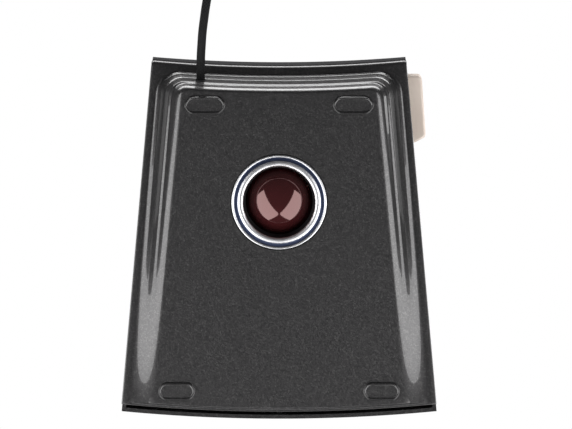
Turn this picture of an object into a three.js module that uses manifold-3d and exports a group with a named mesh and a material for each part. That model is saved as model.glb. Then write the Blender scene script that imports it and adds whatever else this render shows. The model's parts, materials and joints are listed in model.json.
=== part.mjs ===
// Ball mouse with a wedge-shaped two-shell body, standing on its four feet.
// Millimetres. +Z is up, +Y is the front (the cord end), -X is the thumb side.
import * as THREE from "three";
import { mergeVertices } from "three/addons/utils/BufferGeometryUtils.js";
import Module from "manifold-3d";

const wasm = await Module();
wasm.setup();

// ---------------------------------------------------------------- driving dimensions
const GAP = 0.3;
const BODY_FRONT = 57.1;
const BODY_REAR = -54.7;
const FRONT_HALF_WIDTH = 40.7;
const REAR_HALF_WIDTH = 50.35;
const COVER_FRONT_DIP = 1.9;
const COVER_REAR_BULGE = 2.4;
const TRAY_SIDE_INSET = 0.5;
const TRAY_FRONT_INSET = 0.4;
const TRAY_REAR_INSET = 2.8;
const PAN_Z = 0.8;
const FLANGE_REAR_Z = 1.9;
const FLANGE_FRONT_Z = 14.5;
const SHELL = 1.6;
const RIM_HEIGHT = 3;

const BALL_Y = 12.8;
const BALL_RADIUS = 12.3;
const BALL_Z = BALL_RADIUS + 0.05;
const RING_RADIUS = 15.3;
const RING_INNER = 11.55;
const COLLAR_INNER = 11;
const CAGE_INNER = 13.2;
const CAGE_OUTER = 14.8;

const THUMB_Z = [17.8, 24.4];
const CORD_RADIUS = 1.375;
const CORD_X = 25.15;
const CORD_EXIT = [CORD_X, 51.2, 8.2];

// ---------------------------------------------------------------- materials and nodes
const mouse = new THREE.Group();
const material = (color, roughness, metalness = 0) =>
  new THREE.MeshStandardMaterial({ color, roughness, metalness });

const SHELL_GREY = material(0x424041, 0.35, 0.3);
const CREAM = material(0xe1d4c8, 0.45);
const POLISHED = material(0xe6e8ec, 0.12, 1);
const BLACK = material(0x17171a, 0.55);
const MAROON = material(0x4a1718, 0.1);
const STEEL = material(0xa9abb0, 0.3, 1);
const WHITE_PLASTIC = material(0xe8e6df, 0.5);
const BOARD_GREEN = material(0x1d5a34, 0.5);
const LED_CLEAR = material(0xd9c7c0, 0.2);
const DETECTOR_DARK = material(0x2b1d24, 0.3);
const BRASS = material(0xc2a35a, 0.3, 1);
const CORD_BLACK = material(0x141414, 0.9);

function add(name, geometry, look) {
  const mesh = new THREE.Mesh(geometry, look);
  mesh.name = name;
  mouse.add(mesh);
  return mesh;
}

// ---------------------------------------------------------------- solids
function solid(geometry) {
  const bare = geometry.clone();
  for (const attribute of Object.keys(bare.attributes)) {
    if (attribute !== "position") bare.deleteAttribute(attribute);
  }
  const merged = mergeVertices(bare, 1e-4);
  const vertProperties = new Float32Array(merged.attributes.position.array);
  const triVerts = new Uint32Array(merged.index.array);
  return new wasm.Manifold(new wasm.Mesh({ numProp: 3, vertProperties, triVerts }));
}

function geometryOf(manifold) {
  const mesh = manifold.getMesh();
  const geometry = new THREE.BufferGeometry();
  const points = [];
  for (const vertex of mesh.triVerts) {
    for (let k = 0; k < 3; k++) points.push(mesh.vertProperties[vertex * mesh.numProp + k]);
  }
  geometry.setAttribute("position", new THREE.Float32BufferAttribute(points, 3));
  return geometry;
}

const boxOf = (low, high) => {
  const size = low.map((value, k) => high[k] - value);
  const geometry = new THREE.BoxGeometry(...size);
  geometry.translate(...low.map((value, k) => value + size[k] / 2));
  return geometry;
};

// A round bar from one point to another.
function rod(from, to, radius, sides = 14) {
  const start = new THREE.Vector3(...from);
  const along = new THREE.Vector3(...to).sub(start);
  const geometry = new THREE.CylinderGeometry(radius, radius, along.length(), sides);
  const turn = new THREE.Quaternion().setFromUnitVectors(
    new THREE.Vector3(0, 1, 0),
    along.clone().normalize(),
  );
  geometry.applyQuaternion(turn);
  geometry.translate(...start.addScaledVector(along, 0.5).toArray());
  return geometry;
}

// A closed profile of [radius, height] points turned about a vertical axis at x, y.
function turned(profile, x, y, sides = 40) {
  const points = profile.map(([radius, height]) => new THREE.Vector2(radius, height));
  const geometry = new THREE.LatheGeometry(points, sides);
  geometry.rotateX(Math.PI / 2);
  geometry.translate(x, y, 0);
  return geometry;
}

const ringProfile = (inner, outer, low, high) => [
  [inner, low],
  [outer, low],
  [outer, high],
  [inner, high],
  [inner, low],
];

const unite = (...geometries) => geometries.map(solid).reduce((sum, piece) => sum.add(piece));
const cut = (body, ...tools) => tools.reduce((rest, tool) => rest.subtract(solid(tool)), body);

// ---------------------------------------------------------------- body outline
const along = (y) => (BODY_FRONT - y) / (BODY_FRONT - BODY_REAR);
const halfWidth = (y) => THREE.MathUtils.lerp(FRONT_HALF_WIDTH, REAR_HALF_WIDTH, along(y));
const flangeZ = (y) => THREE.MathUtils.lerp(FLANGE_FRONT_Z, FLANGE_REAR_Z, along(y));
const partingZ = (y) => flangeZ(y) + RIM_HEIGHT;
const frontY = (x) => BODY_FRONT - COVER_FRONT_DIP * (1 - (x / FRONT_HALF_WIDTH) ** 2);
const rearY = (x) => BODY_REAR - COVER_REAR_BULGE * (1 - (x / REAR_HALF_WIDTH) ** 2);

// A block between a lower and an upper surface, on the fan-shaped plan.
function block({ columns, rows, side, front, rear, low, high }) {
  const point = (u, v) => {
    const guess = THREE.MathUtils.lerp(BODY_REAR, BODY_FRONT, v);
    const reach = halfWidth(guess) - side;
    const x = u * reach;
    const y = THREE.MathUtils.lerp(rearY(x) + rear, frontY(x) - front, v);
    return [u * (halfWidth(y) - side), y];
  };
  const wide = columns.length;
  const deep = rows.length;
  const vertices = [];
  for (const surface of [low, high]) {
    for (const v of rows) {
      for (const u of columns) {
        const [x, y] = point(u, v);
        vertices.push(x, y, surface(x, y));
      }
    }
  }
  const index = [];
  const at = (layer, row, column) => (layer * deep + row) * wide + column;
  const quad = (a, b, c, d) => index.push(a, b, c, a, c, d);
  for (let r = 0; r < deep - 1; r++) {
    for (let c = 0; c < wide - 1; c++) {
      quad(at(0, r, c), at(0, r + 1, c), at(0, r + 1, c + 1), at(0, r, c + 1));
      quad(at(1, r, c), at(1, r, c + 1), at(1, r + 1, c + 1), at(1, r + 1, c));
    }
  }
  for (let c = 0; c < wide - 1; c++) {
    quad(at(0, 0, c), at(0, 0, c + 1), at(1, 0, c + 1), at(1, 0, c));
    quad(at(0, deep - 1, c + 1), at(0, deep - 1, c), at(1, deep - 1, c), at(1, deep - 1, c + 1));
  }
  for (let r = 0; r < deep - 1; r++) {
    quad(at(0, r + 1, 0), at(0, r, 0), at(1, r, 0), at(1, r + 1, 0));
    quad(at(0, r, wide - 1), at(0, r + 1, wide - 1), at(1, r + 1, wide - 1), at(1, r, wide - 1));
  }
  const geometry = new THREE.BufferGeometry();
  geometry.setAttribute("position", new THREE.Float32BufferAttribute(vertices, 3));
  geometry.setIndex(index);
  return geometry;
}

// Stations from -1 to 1 that crowd towards both ends, for rounded edges.
const crowded = (count) =>
  Array.from({ length: count + 1 }, (_, k) => Math.sin((Math.PI / 2) * ((2 * k) / count - 1)));
const fromZero = (stations) => stations.map((value) => (value + 1) / 2);

// ---------------------------------------------------------------- lower tray
const PAN_SIDE = [2.5, 10.7];
const PAN_FRONT = [2.6, 7.4];
const PAN_CORNER = [7.5, 2.7];
const PAN_REAR_LIP = 0.6;
const PAN_STEPS = [
  [0, 0],
  [0.13, 0.34],
  [0.34, 0.42],
  [0.52, 0.8],
  [0.8, 0.88],
  [1, 1],
];

// One level line of the stepped pan: up the left side, across the front, back along the rear.
function panLine(progress, shrink) {
  const { lerp } = THREE.MathUtils;
  const side = lerp(...PAN_SIDE, progress) + shrink;
  const front = lerp(...PAN_FRONT, progress) + shrink;
  const corner = lerp(...PAN_CORNER, progress);
  const cornerSide = halfWidth(BODY_FRONT - front - corner) - side;
  const cornerY = frontY(cornerSide - corner) - front - corner;
  const right = [];
  for (let k = 0; k <= 5; k++) {
    const y = lerp(cornerY, BODY_REAR + TRAY_REAR_INSET + PAN_REAR_LIP + shrink, 1 - k / 5);
    right.push([halfWidth(y) - side, y]);
  }
  for (let k = 1; k <= 5; k++) {
    const angle = (Math.PI / 2) * (k / 5);
    right.push([
      cornerSide - corner + corner * Math.cos(angle),
      cornerY + corner * Math.sin(angle),
    ]);
  }
  for (let k = 1; k <= 3; k++) {
    const x = (cornerSide - corner) * (1 - k / 4);
    right.push([x, frontY(x) - front]);
  }
  const left = right.map(([x, y]) => [-x, y]).reverse();
  const rearHalf = right[0][0];
  const rear = [-0.6, -0.2, 0.2, 0.6].map((u) => {
    const x = u * rearHalf;
    return [x, rearY(x) + TRAY_REAR_INSET + PAN_REAR_LIP + shrink];
  });
  return [...right, [0, frontY(0) - front], ...left, ...rear];
}

// The stepped pan as a stack of level lines, from above the flange down to its flat face.
function panSolid(shrink, faceZ, overlap) {
  const levels = PAN_STEPS.map(([progress, drop]) => ({ line: panLine(progress, shrink), drop }));
  levels.unshift({ line: panLine(0, shrink), drop: 0, lift: overlap });
  const vertices = [];
  for (const { line, drop, lift = 0 } of levels) {
    for (const [x, y] of line) {
      const high = flangeZ(y) + faceZ - PAN_Z;
      vertices.push(x, y, THREE.MathUtils.lerp(high, faceZ, drop) + lift);
    }
  }
  const count = levels[0].line.length;
  const index = [];
  for (let level = 0; level < levels.length - 1; level++) {
    for (let k = 0; k < count; k++) {
      const next = (k + 1) % count;
      const [a, b] = [level * count + k, level * count + next];
      index.push(a, a + count, b, b, a + count, b + count);
    }
  }
  const cap = (level, flip) => {
    const flat = levels[level].line.map(([x, y]) => new THREE.Vector2(x, y));
    for (const [a, b, c] of THREE.ShapeUtils.triangulateShape(flat, [])) {
      const corners = flip ? [a, c, b] : [a, b, c];
      index.push(...corners.map((k) => k + level * count));
    }
  };
  cap(0, false);
  cap(levels.length - 1, true);
  const geometry = new THREE.BufferGeometry();
  geometry.setAttribute("position", new THREE.Float32BufferAttribute(vertices, 3));
  geometry.setIndex(index);
  return geometry;
}

const FOOT_LENGTH = 12.8;
const FOOT_WIDTH = 5.5;
const FOOT_PLACES = [
  [-24, 44.2],
  [24, 44.2],
  [-32.6, -47.8],
  [32.6, -47.8],
];

// A foot pad: a long hexagon standing out of the pan's face.
function footPad([x, y]) {
  const shape = new THREE.Shape();
  const end = FOOT_LENGTH / 2;
  const side = FOOT_WIDTH / 2;
  const shoulder = end - side * 0.62;
  shape.moveTo(end, 0);
  shape.lineTo(shoulder, side);
  shape.lineTo(-shoulder, side);
  shape.lineTo(-end, 0);
  shape.lineTo(-shoulder, -side);
  shape.lineTo(shoulder, -side);
  const geometry = new THREE.ExtrudeGeometry(shape, { depth: PAN_Z + 0.5, bevelEnabled: false });
  geometry.translate(x, y, 0);
  return geometry;
}

const BOARD_BOTTOM = 4.4;
const BOARD_TOP = 5.8;
const BOARD_SCREWS = [
  [-21, -19],
  [21, -19],
  [0, 37],
];
const CAGE_SCREWS = [
  [-20.5, BALL_Y],
  [20.5, BALL_Y],
];
const SCREW_RADIUS = 1;
const FLOOR_TOP = PAN_Z + SHELL;

function trayPlate(inset, low, high) {
  return block({
    columns: [-1, -0.6, -0.2, 0.2, 0.6, 1],
    rows: [0, 1],
    side: TRAY_SIDE_INSET + inset,
    front: TRAY_FRONT_INSET + inset,
    rear: TRAY_REAR_INSET + inset,
    low: (x, y) => flangeZ(y) + low,
    high: (x, y) => flangeZ(y) + high,
  });
}

function lowerTray() {
  let tray = solid(trayPlate(0, 0, RIM_HEIGHT)).add(solid(panSolid(0, PAN_Z, 1)));
  tray = cut(tray, trayPlate(SHELL, SHELL, RIM_HEIGHT + 1), panSolid(SHELL, FLOOR_TOP, 2));
  for (const place of FOOT_PLACES) tray = tray.add(solid(footPad(place)));
  for (const [x, y] of BOARD_SCREWS) {
    tray = tray.add(solid(rod([x, y, FLOOR_TOP - 0.4], [x, y, BOARD_BOTTOM - GAP], 2.6)));
  }
  const thumbPost = boxOf([-32, 42, 2.1], [-29, 46, THUMB_Z[0] - 1.6 - 2 * GAP]);
  tray = tray.add(solid(thumbPost));
  tray = cut(tray, rod([0, BALL_Y, -2], [0, BALL_Y, 6], RING_RADIUS + GAP, 36));
  for (const [x, y] of [...BOARD_SCREWS, ...CAGE_SCREWS]) {
    tray = cut(tray, rod([x, y, 1.2], [x, y, 8], SCREW_RADIUS + GAP));
  }
  const cordHole = rod([CORD_X, 40, CORD_EXIT[2]], [CORD_X, 60, CORD_EXIT[2]], 2.4);
  return geometryOf(cut(tray, cordHole));
}

// ---------------------------------------------------------------- top cover
const COVER_WALL = 1.8;
const ROOF_Z = 33.2;
const ROOF_PEAK_Y = 18;
const ROOF_FALL = { front: 0.0021, rear: 0.0031 };
const ROOF_CROWN = 2.2;
const WALL_SHARE = 0.35;
const EDGE_ROUND = { side: 11, front: 7, rear: 16 };
const KEY_OPENING = { half: 34, rear: 13.5, front: 51 };
const KEY_GAP = 0.5;
const KEY_THICK = 2.2;
const THUMB_Y = [30, 51.8];
const THUMB_PIVOT = [-40.6, 32.4];

const quarterRound = (distance, radius) => {
  const inside = THREE.MathUtils.clamp(1 - distance / radius, 0, 1);
  return Math.sqrt(1 - inside ** 2);
};

function coverTop(x, y) {
  const fall = y > ROOF_PEAK_Y ? ROOF_FALL.front : ROOF_FALL.rear;
  const crown = ROOF_CROWN * (x / halfWidth(y)) ** 2;
  const roof = ROOF_Z - fall * (y - ROOF_PEAK_Y) ** 2 - crown;
  const rounding =
    quarterRound(halfWidth(y) - Math.abs(x), EDGE_ROUND.side) *
    quarterRound(frontY(x) - y, EDGE_ROUND.front) *
    quarterRound(y - rearY(x), EDGE_ROUND.rear);
  const wallShare = WALL_SHARE + (1 - WALL_SHARE) * rounding;
  return THREE.MathUtils.lerp(partingZ(y), roof, wallShare);
}

// A piece of the roof between two heights below the cover's outer surface.
function roofPatch([left, right], [rear, front], below) {
  const columns = 5;
  const rows = 7;
  const geometry = new THREE.BoxGeometry(1, 1, 1, columns, rows, 1);
  const position = geometry.attributes.position;
  for (let k = 0; k < position.count; k++) {
    const x = THREE.MathUtils.lerp(left, right, position.getX(k) + 0.5);
    const y = THREE.MathUtils.lerp(rear, front, position.getY(k) + 0.5);
    const drop = position.getZ(k) > 0 ? 0 : below;
    position.setXYZ(k, x, y, coverTop(x, y) - drop);
  }
  return geometry;
}

const HINGE_Y = 17;
const HINGE_Z = 27.2;
const HINGE_RADIUS = 1.2;
const HINGE_REACH = 36;

function snapHook(side, y) {
  const wall = side * (halfWidth(y) - TRAY_SIDE_INSET - SHELL - GAP - 0.3);
  const span = [wall - side * 1.4, side * (halfWidth(y) - 1)].sort((a, b) => a - b);
  const tongue = [wall - side * 1.4, wall].sort((a, b) => a - b);
  const base = partingZ(y) + 2;
  return unite(
    boxOf([span[0], y - 3, base], [span[1], y + 3, base + 2.5]),
    boxOf([tongue[0], y - 3, base - 2.6], [tongue[1], y + 3, base + 1]),
  );
}

function topCover() {
  const outer = block({
    columns: crowded(14),
    rows: fromZero(crowded(14)),
    side: 0,
    front: 0,
    rear: 0,
    low: (x, y) => partingZ(y) + GAP,
    high: coverTop,
  });
  const inner = block({
    columns: crowded(7),
    rows: fromZero(crowded(7)),
    side: COVER_WALL,
    front: COVER_WALL,
    rear: COVER_WALL,
    low: (x, y) => partingZ(y) - 2,
    high: (x, y) => coverTop(x, y) - COVER_WALL,
  });
  let cover = solid(outer).subtract(solid(inner));
  const { half, rear, front } = KEY_OPENING;
  cover = cut(cover, boxOf([-half, rear, 18], [half, front, 40]));
  for (const side of [-1, 1]) {
    const bracket = [side * (HINGE_REACH - 1.6), side * (HINGE_REACH + 1.6)].sort((a, b) => a - b);
    const roof = coverTop(HINGE_REACH, HINGE_Y) - 1;
    cover = cover.add(
      solid(boxOf([bracket[0], HINGE_Y - 3, HINGE_Z - 3], [bracket[1], HINGE_Y + 3, roof])),
    );
    for (const y of [-28, 26]) cover = cover.add(snapHook(side, y));
  }
  const rodHole = HINGE_REACH + 0.8;
  cover = cut(
    cover,
    rod([-rodHole, HINGE_Y, HINGE_Z], [rodHole, HINGE_Y, HINGE_Z], HINGE_RADIUS + GAP),
    boxOf([-60, THUMB_Y[0] - 1.2, THUMB_Z[0] - 0.5], [-36, THUMB_Y[1] + 0.5, THUMB_Z[1] + 0.5]),
    rod([...THUMB_PIVOT, 10], [...THUMB_PIVOT, THUMB_Z[1] + 2.1], 0.9 + GAP),
  );
  return geometryOf(cover);
}

add("lower_tray", lowerTray(), SHELL_GREY);
add("top_cover", topCover(), SHELL_GREY);

// ---------------------------------------------------------------- buttons
const KEY_POST = { x: 16, y: 38, half: 1.6 };
const SWITCH_TOP = 12.6;
const PLUNGER_TOP = 13.6;

function mainButton(side) {
  const inner = side * KEY_GAP;
  const outer = side * (KEY_OPENING.half - KEY_GAP);
  const span = [inner, outer].sort((a, b) => a - b);
  const depth = [KEY_OPENING.rear + KEY_GAP, KEY_OPENING.front - KEY_GAP];
  const { x, y, half } = KEY_POST;
  const post = boxOf(
    [side * x - half, y - half, PLUNGER_TOP + GAP],
    [side * x + half, y + half, coverTop(x, y) - 1],
  );
  const knuckle = boxOf(
    [side * x - 7, HINGE_Y - 2.2, HINGE_Z - 2.4],
    [side * x + 7, HINGE_Y + 2.2, coverTop(x, HINGE_Y) - 1.2],
  );
  const shell = unite(roofPatch(span, depth, KEY_THICK), post, knuckle);
  const bore = rod([-40, HINGE_Y, HINGE_Z], [40, HINGE_Y, HINGE_Z], HINGE_RADIUS + GAP);
  return geometryOf(cut(shell, bore));
}

function thumbButton() {
  const [rear, front] = THUMB_Y;
  const outline = new THREE.Shape();
  const inner = -38.9;
  const outerFront = -45.9;
  const outerRear = -47.2;
  const corner = 1.5;
  outline.moveTo(inner, rear);
  outline.lineTo(outerRear + 3.6, rear);
  outline.lineTo(outerRear, rear + 2.1);
  outline.lineTo(outerFront, front - corner);
  outline.quadraticCurveTo(outerFront, front, outerFront + corner, front);
  outline.lineTo(inner, front);
  const height = THUMB_Z[1] - THUMB_Z[0];
  const cap = new THREE.ExtrudeGeometry(outline, {
    depth: height,
    bevelEnabled: false,
    curveSegments: 5,
  });
  cap.translate(0, 0, THUMB_Z[0]);
  const finger = boxOf([inner - 0.5, 42.6, 19.6], [-36.4, 45.4, 22.6]);
  const [x, y] = THUMB_PIVOT;
  return geometryOf(cut(unite(cap, finger), rod([x, y, 10], [x, y, 30], 0.9 + GAP)));
}

add("left_button", mainButton(-1), CREAM);
add("right_button", mainButton(1), CREAM);
const rodEnd = HINGE_REACH + 0.5;
const hingeRod = rod([-rodEnd, HINGE_Y, HINGE_Z], [rodEnd, HINGE_Y, HINGE_Z], HINGE_RADIUS);
add("button_hinge_rod", hingeRod, STEEL);
add("thumb_button", thumbButton(), CREAM);
const pivotFoot = [...THUMB_PIVOT, THUMB_Z[0] - 1.4];
const pivotHead = [...THUMB_PIVOT, THUMB_Z[1] + 1.8];
add("thumb_pivot_pin", rod(pivotFoot, pivotHead, 0.9), STEEL);

// ---------------------------------------------------------------- ball, ring and cage
const RING_FACE = 0.45;
const ringSection = [
  [RING_INNER, 1.2],
  [RING_INNER, 0.75],
  [RING_INNER + 0.3, RING_FACE],
  [13.3, RING_FACE],
  [13.6, 0.8],
  [14.2, 0.8],
  [14.5, RING_FACE],
  [15, RING_FACE],
  [RING_RADIUS, 0.75],
  [RING_RADIUS, 1.2],
  [RING_INNER, 1.2],
];
add("retaining_ring", turned(ringSection, 0, BALL_Y, 40), POLISHED);

const collarSection = [
  [COLLAR_INNER, 5],
  [COLLAR_INNER + 0.3, 1.5],
  [15.2, 1.5],
  [15.2, 2.2],
  [12.7, 2.2],
  [12.3, 5],
  [COLLAR_INNER, 5],
];
add("ball_retainer", turned(collarSection, 0, BALL_Y, 32), BLACK);

const CORE_RADIUS = 10.6;
function ballSkin() {
  const outer = new THREE.SphereGeometry(BALL_RADIUS, 28, 16);
  const inner = new THREE.SphereGeometry(CORE_RADIUS + GAP, 14, 9);
  const gate = rod([0, 0, 5], [0, 0, 20], 0.5, 8);
  for (const sphere of [outer, inner]) sphere.rotateX(Math.PI / 2);
  const skin = cut(solid(outer), inner, gate);
  return geometryOf(skin.translate([0, BALL_Y, BALL_Z]));
}
add("ball_skin", ballSkin(), MAROON);
const core = new THREE.SphereGeometry(CORE_RADIUS - 0.5, 14, 9);
core.translate(0, BALL_Y, BALL_Z);
add("ball_core", geometryOf(solid(core)), STEEL);

const ROLLER_RADIUS = 2.2;
const ROLLER_REACH = BALL_RADIUS + GAP + ROLLER_RADIUS;
const IDLER_RADIUS = 2;
const IDLER_REACH = BALL_RADIUS + GAP + IDLER_RADIUS;
const CAGE_TOP = 19;
const FORWARD_ANGLE = 0;
const SIDEWAYS_ANGLE = 90;
const IDLER_ANGLE = 135;

// Places a solid made in radial coordinates (+X away from the ball) around the ball.
const aroundBall = (manifold, degrees) =>
  manifold.rotate([0, 0, degrees]).translate([0, BALL_Y, 0]);

function ballCage() {
  const wall = turned(ringProfile(CAGE_INNER, CAGE_OUTER, 2.7, CAGE_TOP), 0, BALL_Y, 32);
  const base = turned(ringProfile(CAGE_INNER, 17.4, 2.7, 3.9), 0, BALL_Y, 32);
  let cage = unite(wall, base);
  for (const [x, y] of CAGE_SCREWS) {
    const side = Math.sign(x);
    const span = [side * 15, side * 23.4].sort((a, b) => a - b);
    cage = cage.add(solid(boxOf([span[0], y - 3, 2.7], [span[1], y + 3, 3.9])));
    cage = cut(cage, rod([x, y, 2], [x, y, 5], SCREW_RADIUS + GAP));
  }
  const window = boxOf([11, -6.6, 6], [17, 6.6, 17]);
  for (const degrees of [FORWARD_ANGLE - 90, SIDEWAYS_ANGLE - 90, IDLER_ANGLE]) {
    cage = cage.subtract(aroundBall(solid(window), degrees));
  }
  return geometryOf(cage);
}
add("ball_cage", ballCage(), BLACK);

// ---------------------------------------------------------------- encoders
const SHAFT_RADIUS = 0.9;
const WHEEL_RADIUS = 6;
const WHEEL_OFFSET = 17;
const SLOTS = 12;

// A flat slotted wheel whose axis is X, centred on the origin.
function slottedWheel() {
  const disc = new THREE.Shape();
  disc.absarc(0, 0, WHEEL_RADIUS, 0, 2 * Math.PI);
  const bore = new THREE.Path();
  bore.absarc(0, 0, SHAFT_RADIUS + GAP, 0, 2 * Math.PI, true);
  disc.holes.push(bore);
  for (let k = 0; k < SLOTS; k++) {
    const angle = (2 * Math.PI * k) / SLOTS;
    const half = Math.PI / SLOTS / 2;
    const corners = [
      [3.9, angle - half],
      [3.9, angle + half],
      [5.3, angle + half],
      [5.3, angle - half],
    ];
    const slot = new THREE.Path();
    slot.setFromPoints(
      corners.map(([r, a]) => new THREE.Vector2(r * Math.cos(a), r * Math.sin(a))),
    );
    disc.holes.push(slot);
  }
  const options = { depth: 0.8, bevelEnabled: false, curveSegments: 12 };
  const wheel = new THREE.ExtrudeGeometry(disc, options);
  wheel.translate(0, 0, -0.4);
  wheel.rotateY(Math.PI / 2);
  return wheel;
}

// One encoder, built with its shaft along X behind the ball, then turned into place.
// The slotted wheel is on the +X side where hand is 1, and on the -X side where it is -1.
function encoder(prefix, degrees, hand) {
  const y = -ROLLER_REACH;
  const z = BALL_Z;
  const place = (manifold) => geometryOf(aroundBall(manifold, degrees));
  const bar = (from, to, radius, sides) =>
    rod([hand * from, y, z], [hand * to, y, z], radius, sides);
  const shaftHole = bar(-25, 25, SHAFT_RADIUS + GAP);
  add(`${prefix}_shaft`, place(solid(bar(-12, 19.6, SHAFT_RADIUS))), STEEL);
  const roller = solid(bar(-4.5, 4.5, ROLLER_RADIUS, 24));
  add(`${prefix}_roller`, place(cut(roller, shaftHole)), BLACK);
  const wheel = slottedWheel();
  wheel.translate(hand * WHEEL_OFFSET, y, z);
  add(`${prefix}_slot_wheel`, place(solid(wheel)), BLACK);
  const low = BOARD_TOP + GAP;
  const pillar = (x, half, depth, top) =>
    boxOf([hand * x - half, y - depth, low], [hand * x + half, y + depth, top]);
  for (const [name, x] of [["near", 11.5], ["far", -9.6]]) {
    const post = cut(solid(pillar(x, 1.2, 1.9, z + 2.6)), shaftHole);
    add(`${prefix}_bearing_${name}`, place(post), WHITE_PLASTIC);
  }
  const optics = [
    { name: "emitter", x: WHEEL_OFFSET - 2.4, facing: 1, look: LED_CLEAR },
    { name: "detector", x: WHEEL_OFFSET + 2.4, facing: -1, look: DETECTOR_DARK },
  ];
  for (const { name, x, facing, look } of optics) {
    const from = [hand * x, y, low + 2.4];
    const to = [hand * (x + facing * 1.5), y, low + 2.4];
    const body = unite(pillar(x, 0.9, 2, low + 4.4), rod(from, to, 0.9, 12));
    add(`${prefix}_${name}`, place(body), look);
  }
}
encoder("forward", FORWARD_ANGLE, -1);
encoder("sideways", SIDEWAYS_ANGLE, 1);

// ---------------------------------------------------------------- idler
const IDLER_PIVOT = [17.9, 9.5];
function idler() {
  const place = (manifold) => geometryOf(aroundBall(manifold, IDLER_ANGLE));
  const z = BALL_Z;
  const axle = rod([IDLER_REACH, -5.2, z], [IDLER_REACH, 5.2, z], 0.7, 14);
  add("idler_axle", place(solid(axle)), STEEL);
  const bore = rod([IDLER_REACH, -7, z], [IDLER_REACH, 7, z], 0.7 + GAP, 14);
  const roller = rod([IDLER_REACH, -3, z], [IDLER_REACH, 3, z], IDLER_RADIUS, 24);
  add("idler_roller", place(cut(solid(roller), bore)), WHITE_PLASTIC);
  const [px, py] = IDLER_PIVOT;
  const forks = [-1, 1].map((side) => {
    const span = [side * 3.4, side * 4.6].sort((a, b) => a - b);
    return boxOf([13.2, span[0], z - 1.6], [18.6, span[1], z + 1.6]);
  });
  const bar = boxOf([17.3, -4.6, z - 1.6], [18.6, 9.5, z + 1.6]);
  const boss = rod([px, py, z - 1.6], [px, py, z + 1.6], 2.3);
  const arm = cut(unite(...forks, bar, boss), bore, rod([px, py, 0], [px, py, 30], 1.25));
  add("idler_arm", place(arm), BLACK);
  const pin = rod([px, py, BOARD_TOP + GAP], [px, py, z + 5], 0.95);
  add("idler_pin", place(solid(pin)), STEEL);
  const coil = turned(ringProfile(1.3, 2.1, z + 1.9, z + 4.4), px, py, 20);
  add("idler_spring", place(solid(coil)), STEEL);
}
idler();

// ---------------------------------------------------------------- circuit board and its parts
const BOARD = { half: 26, rear: -23, front: 43 };
function circuitBoard() {
  const { half, rear, front } = BOARD;
  let board = solid(boxOf([-half, rear, BOARD_BOTTOM], [half, front, BOARD_TOP]));
  board = cut(board, rod([0, BALL_Y, 0], [0, BALL_Y, 9], CAGE_OUTER + 0.7, 28));
  for (const [x, y] of CAGE_SCREWS) board = cut(board, rod([x, y, 0], [x, y, 9], 2.7));
  for (const [x, y] of BOARD_SCREWS) {
    board = cut(board, rod([x, y, 0], [x, y, 9], SCREW_RADIUS + GAP));
  }
  return geometryOf(board);
}
add("circuit_board", circuitBoard(), BOARD_GREEN);

const onBoard = ([x, y], [width, depth, height]) =>
  boxOf(
    [x - width / 2, y - depth / 2, BOARD_TOP + GAP],
    [x + width / 2, y + depth / 2, BOARD_TOP + GAP + height],
  );
add("controller_chip", onBoard([0, -14.5], [22, 7, 3.4]), BLACK);
add("crystal", onBoard([-14, -13.5], [4, 10, 3.2]), STEEL);
const canBase = [18, -12.5, BOARD_TOP + GAP];
add("capacitor", rod(canBase, [18, -12.5, 15], 2.6, 24), DETECTOR_DARK);
add("lead_header", onBoard([23.6, 29], [4, 11, 6]), WHITE_PLASTIC);

// A cap screw with its head on the given height.
function screw(name, [x, y], seat, tip, headRadius) {
  const shank = rod([x, y, tip], [x, y, seat + GAP + 0.2], SCREW_RADIUS);
  const head = rod([x, y, seat + GAP], [x, y, seat + GAP + 1.3], headRadius);
  const recess = boxOf([x - 1.4, y - 0.3, seat + 1.1], [x + 1.4, y + 0.3, seat + 3]);
  add(name, geometryOf(cut(unite(shank, head), recess)), STEEL);
}
BOARD_SCREWS.forEach((place, k) => screw(`board_screw_${k + 1}`, place, BOARD_TOP, 1.6, 2.2));
CAGE_SCREWS.forEach((place, k) => screw(`cage_screw_${k + 1}`, place, 3.9, 1.6, 2.2));

// ---------------------------------------------------------------- switches
function mainSwitch(name, side) {
  const x = side * KEY_POST.x;
  const y = KEY_POST.y;
  const body = boxOf([x - 3, y - 4.4, BOARD_TOP + GAP], [x + 3, y + 6.4, SWITCH_TOP]);
  const well = boxOf([x - 1.3, y - 1.7, SWITCH_TOP - 2.4], [x + 1.3, y + 1.7, SWITCH_TOP + 1]);
  add(`${name}_switch`, geometryOf(cut(solid(body), well)), BLACK);
  const plunger = boxOf([x - 1, y - 1.4, SWITCH_TOP - 1.2], [x + 1, y + 1.4, PLUNGER_TOP]);
  add(`${name}_plunger`, plunger, WHITE_PLASTIC);
}
mainSwitch("left", -1);
mainSwitch("right", 1);

function thumbSwitch() {
  const low = THUMB_Z[0];
  const body = boxOf([-35, 38.4, low], [-28.8, 49.6, low + 5.6]);
  const well = boxOf([-36, 42.5, low + 1.6], [-32.6, 45.5, low + 4.9]);
  add("thumb_switch", geometryOf(cut(solid(body), well)), BLACK);
  const plunger = boxOf([-36.1, 42.8, low + 1.9], [-33.6, 45.2, low + 4.6]);
  add("thumb_plunger", plunger, WHITE_PLASTIC);
  const board = boxOf([-35.4, 37.5, low - GAP - 1.4], [-27.4, 50.4, low - GAP]);
  add("thumb_board", board, BOARD_GREEN);
}
thumbSwitch();

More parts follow.
